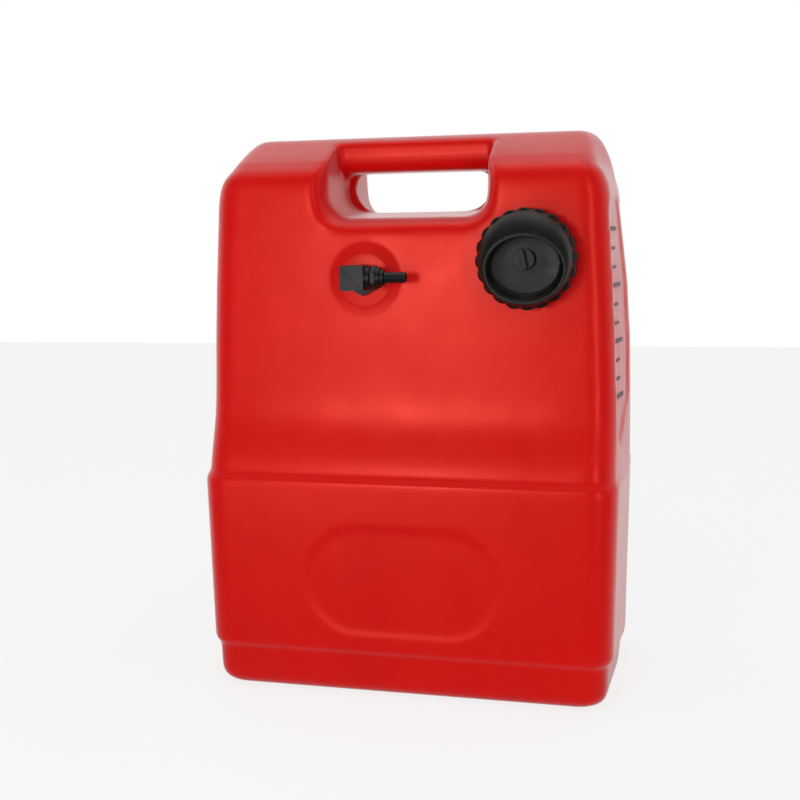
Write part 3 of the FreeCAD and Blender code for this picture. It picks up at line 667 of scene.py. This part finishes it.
for pieceName, (node, bodyName, slotName, width) in smallPieces.items():
    declare(softened(node, pieceName, slotName, width, rounding), bodyName, slotName, node)
print("small pieces rounded:", len(smallPieces))


# CAD nodes that stay, with their finished materials.

for part in frame["record"]["subparts"]:
    kept = nodes[part["node"]]
    finish = materials[part["material_slot"]]
    if kept.material_slots:
        for slotPlace in kept.material_slots:
            slotPlace.material = finish
    else:
        kept.data.materials.append(finish)
print("CAD nodes finished")


# Studio: what mirrors its floor and surroundings is dim in front of the tank and bright behind it.

studio = {
    "floorColour": (0.9, 0.9, 0.9), "floorSize": 6.0, "floorRoughness": 0.9,
    "floorGlow": 0.8,             # share of the floor's own light in what the camera sees
    "floorFade": (-0.25, 0.1),    # from where to where along Y its mirrored light rises
    "white": (1.0, 1.0, 1.0, 1.0), "ambient": 0.56,
    "frontShare": 0.02,           # mirrored light in front, where it is 1 behind
    "frontFade": (-0.45, 0.15), "topFade": (0.55, 0.95),   # the same for directions along Y and Z
    "lamps": {
        "key": {"at": (-0.27, -1.3, 0.42), "size": (0.26, 0.24), "power": 3.2},
        "edge": {"at": (0.85, -1.25, 0.36), "size": (0.1, 0.8), "power": 3.0},
        "low": {"at": (-0.25, -0.95, 0.08), "size": (0.5, 0.1), "power": 0.8},
        "top": {"at": (0.1, -0.1, 1.9), "size": (1.0, 1.0), "power": 2.5}},
    "aim": (0.0, 0.0, 0.23)}


def makeFloor(values):
    half = values["floorSize"] / 2
    mesh = bpy.data.meshes.new("studioFloor")
    mesh.from_pydata([(-half, -half, 0), (half, -half, 0), (half, half, 0), (-half, half, 0)], [],
                     [(0, 1, 2, 3)])
    material = bpy.data.materials.new("paleFloor")
    material.use_nodes = True
    tree = material.node_tree
    shader = tree.nodes["Principled BSDF"]
    shader.inputs["Base Color"].default_value = (*values["floorColour"], 1)
    shader.inputs["Roughness"].default_value = values["floorRoughness"]
    glow = tree.nodes.new("ShaderNodeEmission")
    path = tree.nodes.new("ShaderNodeLightPath")
    blend = tree.nodes.new("ShaderNodeMixShader")
    place = tree.nodes.new("ShaderNodeSeparateXYZ")
    tree.links.new(tree.nodes.new("ShaderNodeTexCoord").outputs["Object"], place.inputs[0])
    level = rangeNode(tree, place.outputs["Y"], values["floorFade"], (values["frontShare"], 1.0))
    level = mathNode(tree, "MAXIMUM", level, path.outputs["Is Camera Ray"])
    tree.links.new(level, glow.inputs["Strength"])
    share = mathNode(tree, "MULTIPLY", path.outputs["Is Camera Ray"], values["floorGlow"])
    share = mathNode(tree, "MAXIMUM", share, path.outputs["Is Glossy Ray"])
    tree.links.new(share, blend.inputs[0])
    tree.links.new(shader.outputs[0], blend.inputs[1])
    tree.links.new(glow.outputs[0], blend.inputs[2])
    tree.links.new(blend.outputs[0], tree.nodes["Material Output"].inputs[0])
    floor = bpy.data.objects.new("studioFloor", mesh)
    mesh.materials.append(material)
    bpy.context.scene.collection.objects.link(floor)


def makeWorld(values):
    world = bpy.data.worlds.new("studioWorld")
    bpy.context.scene.world = world
    world.use_nodes = True
    world.cycles.sampling_method = "NONE"
    tree = world.node_tree
    soft = tree.nodes["Background"]
    soft.inputs["Color"].default_value = values["white"]
    soft.inputs["Strength"].default_value = values["ambient"]
    white = tree.nodes.new("ShaderNodeBackground")
    white.inputs["Color"].default_value = values["white"]
    path = tree.nodes.new("ShaderNodeLightPath")
    way = tree.nodes.new("ShaderNodeSeparateXYZ")
    tree.links.new(tree.nodes.new("ShaderNodeTexCoord").outputs["Generated"], way.inputs[0])
    depth = rangeNode(tree, way.outputs["Y"], values["frontFade"], (values["frontShare"], 1.0))
    above = rangeNode(tree, way.outputs["Z"], values["topFade"], wholeRange)
    level = mathNode(tree, "MAXIMUM", depth, above)
    level = mathNode(tree, "MAXIMUM", level, path.outputs["Is Camera Ray"])
    tree.links.new(level, white.inputs["Strength"])
    seen = mathNode(tree, "MAXIMUM", path.outputs["Is Camera Ray"], path.outputs["Is Glossy Ray"])
    seen = mathNode(tree, "MAXIMUM", seen, path.outputs["Is Transmission Ray"])
    blend = tree.nodes.new("ShaderNodeMixShader")
    tree.links.new(seen, blend.inputs[0])
    tree.links.new(soft.outputs[0], blend.inputs[1])
    tree.links.new(white.outputs[0], blend.inputs[2])
    tree.links.new(blend.outputs[0], tree.nodes["World Output"].inputs[0])


def makeLamps(values):
    for name, lamp in values["lamps"].items():
        light = bpy.data.lights.new(name, "AREA")
        light.shape = "RECTANGLE"
        light.size, light.size_y = lamp["size"]
        light.energy = lamp["power"]
        item = bpy.data.objects.new(name, light)
        item.location = lamp["at"]
        forward = Vector(values["aim"]) - Vector(lamp["at"])
        item.rotation_euler = forward.to_track_quat("-Z", "Y").to_euler()
        bpy.context.scene.collection.objects.link(item)


viewpoint = {
    "at": (0.23709, -1.02726, 0.38882), "yaw": 14.20, "pitch": 7.99, "roll": -0.93,
    "lens": 54.0, "sensor": 36.0}


def makeCamera(values):
    yaw, pitch, roll = (math.radians(values[key]) for key in ("yaw", "pitch", "roll"))
    forward = Vector((-math.sin(yaw) * math.cos(pitch), math.cos(yaw) * math.cos(pitch),
                      -math.sin(pitch)))
    level = Vector((math.cos(yaw), math.sin(yaw), 0))
    upright = level.cross(forward)
    right = level * math.cos(roll) + upright * math.sin(roll)
    up = upright * math.cos(roll) - level * math.sin(roll)
    camera = bpy.data.cameras.new("photoCamera")
    camera.lens = values["lens"]
    camera.sensor_width = values["sensor"]
    item = bpy.data.objects.new("photoCamera", camera)
    turn = Matrix((right, up, -forward)).transposed()
    item.matrix_world = Matrix.Translation(values["at"]) @ turn.to_4x4()
    bpy.context.scene.collection.objects.link(item)
    bpy.context.scene.camera = item


makeFloor(studio)
makeWorld(studio)
makeLamps(studio)
makeCamera(viewpoint)
bpy.context.scene.view_settings.view_transform = "Standard"
print("studio ready")
